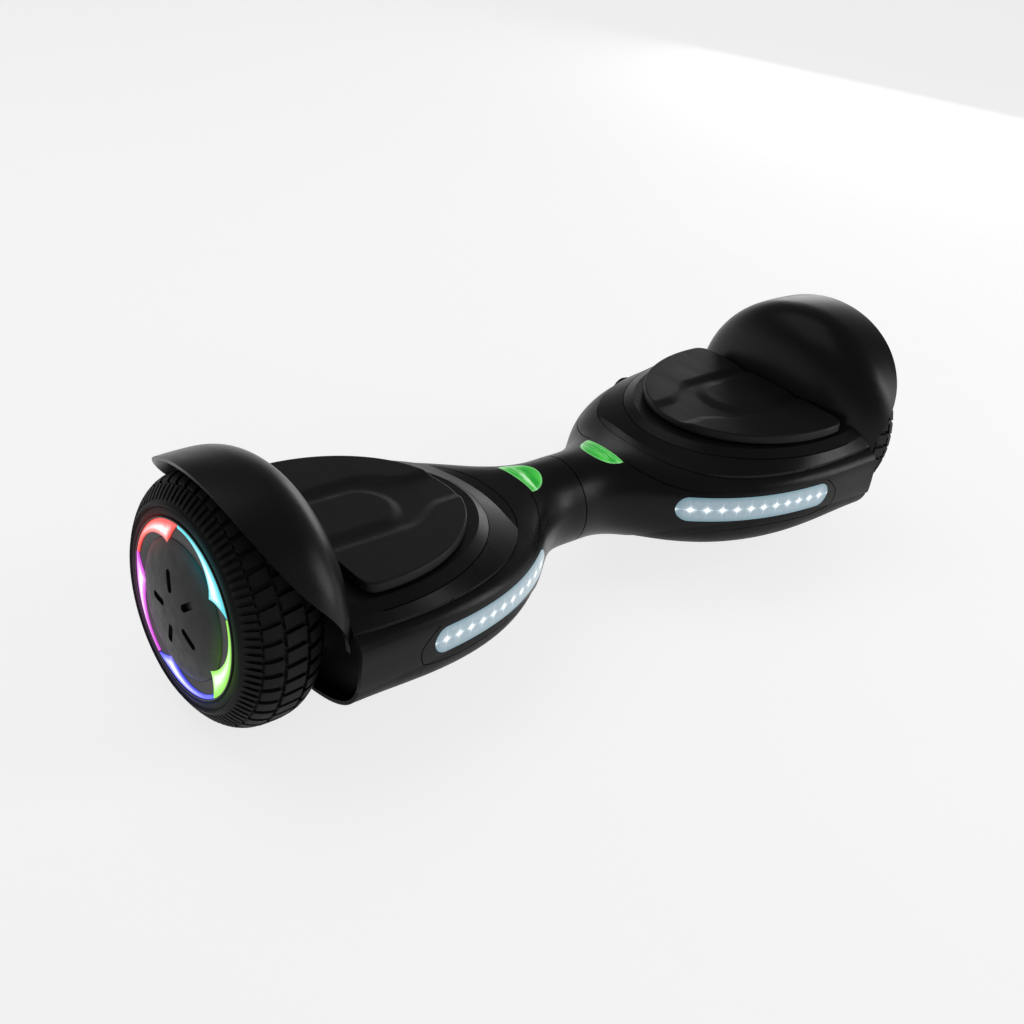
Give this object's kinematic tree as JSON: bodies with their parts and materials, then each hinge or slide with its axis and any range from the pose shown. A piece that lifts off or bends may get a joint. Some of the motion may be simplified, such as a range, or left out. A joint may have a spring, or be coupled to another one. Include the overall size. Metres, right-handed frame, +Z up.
{
  "type": "self balancing hoverboard",
  "caption": "Black hourglass self balancing board with a hub motor wheel at each end, domed fenders, rubber foot pads and lit front strips, twisting about a waist pivot.",
  "frame": {"origin": "on the ground, midway between the two wheels, under the waist", "axes": "+X along the board to the right wheel, -Y to the front with the light strips, +Z up"},
  "size_m": [0.625, 0.203, 0.174],
  "materials": {
    "shell_plastic": "satin black ABS",
    "tray_plastic": "matte black ABS",
    "fender_plastic": "semi gloss black",
    "clear_lens": "clear",
    "green_lens": "translucent green",
    "light_board": "white board with lights",
    "hub_light": "frosted light pipe",
    "steel": "machined",
    "cast_aluminium": "cast",
    "circuit_board": "solder mask",
    "stator_copper": "enamelled windings",
    "tyre_rubber": "matte",
    "magnet": "nickel plated",
    "hub_plastic": "satin black",
    "pad_rubber": "matte",
    "brass": "sintered",
    "battery_wrap": "shrink wrap",
    "socket_metal": "plated",
    "button_plastic": "gloss",
    "cap_rubber": "matte"
  },
  "bodies": {
    "left_half": {"left_upper_shell": "shell_plastic", "left_lower_shell": "tray_plastic", "left_fender": "fender_plastic", "left_front_light_lens": "clear_lens", "left_front_light_board": "light_board", "left_direction_light_lens": "green_lens", "left_direction_light_board": "light_board", "left_shell_screws": "steel", "left_frame": "cast_aluminium", "left_axle_clamp": "cast_aluminium", "left_clamp_bolts": "steel", "left_gyro_board": "circuit_board", "left_motor_stator": "stator_copper", "left_axle": "steel", "pivot_tube": "steel", "pivot_circlip": "steel", "battery_pack": "battery_wrap"},
    "right_half": {"right_upper_shell": "shell_plastic", "right_lower_shell": "tray_plastic", "right_fender": "fender_plastic", "right_front_light_lens": "clear_lens", "right_front_light_board": "light_board", "right_direction_light_lens": "green_lens", "right_direction_light_board": "light_board", "right_shell_screws": "steel", "right_frame": "cast_aluminium", "right_axle_clamp": "cast_aluminium", "right_clamp_bolts": "steel", "right_gyro_board": "circuit_board", "right_motor_stator": "stator_copper", "right_axle": "steel", "pivot_bushes": "brass", "control_board": "circuit_board", "charging_socket": "socket_metal"},
    "left_wheel": {"left_tyre": "tyre_rubber", "left_motor_drum": "cast_aluminium", "left_motor_magnets": "magnet", "left_motor_side_cover": "cast_aluminium", "left_wheel_bearings": "steel", "left_hub_cover": "hub_plastic", "left_hub_cover_screws": "steel", "left_hub_light_ring": "hub_light", "left_hub_light_board": "light_board"},
    "right_wheel": {"right_tyre": "tyre_rubber", "right_motor_drum": "cast_aluminium", "right_motor_magnets": "magnet", "right_motor_side_cover": "cast_aluminium", "right_wheel_bearings": "steel", "right_hub_cover": "hub_plastic", "right_hub_cover_screws": "steel", "right_hub_light_ring": "hub_light", "right_hub_light_board": "light_board"},
    "left_pad": {"left_foot_pad": "pad_rubber", "left_pad_plungers": "pad_rubber"},
    "right_pad": {"right_foot_pad": "pad_rubber", "right_pad_plungers": "pad_rubber"},
    "button": {"power_button": "button_plastic"},
    "port_cap": {"charging_port_cap": "cap_rubber"}
  },
  "joints": [
    {"name": "waist_pivot", "type": "hinge", "parent": "left_half", "child": "right_half", "pos_m": [0, 0, 0.0714], "axis": [1, 0, 0], "range_deg": [-10, 10]},
    {"name": "left_wheel_spin", "type": "hinge", "parent": "left_half", "child": "left_wheel", "pos_m": [-0.27725, 0, 0.0825], "axis": [1, 0, 0], "continuous": true},
    {"name": "right_wheel_spin", "type": "hinge", "parent": "right_half", "child": "right_wheel", "pos_m": [0.27725, 0, 0.0825], "axis": [1, 0, 0], "continuous": true},
    {"name": "left_pad_press", "type": "slide", "parent": "left_half", "child": "left_pad", "axis": [0, 0, -1], "range_m": [0, 0.0012], "stiffness_N_per_m": 20000, "springref_m": -0.0003},
    {"name": "right_pad_press", "type": "slide", "parent": "right_half", "child": "right_pad", "axis": [0, 0, -1], "range_m": [0, 0.0012], "stiffness_N_per_m": 20000, "springref_m": -0.0003},
    {"name": "power_button_press", "type": "slide", "parent": "right_half", "child": "button", "axis": [0, -1, 0], "range_m": [0, 0.0012], "stiffness_N_per_m": 1500, "springref_m": -0.001},
    {"name": "port_cap_swing", "type": "hinge", "parent": "right_half", "child": "port_cap", "pos_m": [0.16203, 0.1004, 0.0684], "axis": [-1, 0, 0], "range_deg": [0, 120]}
  ]
}
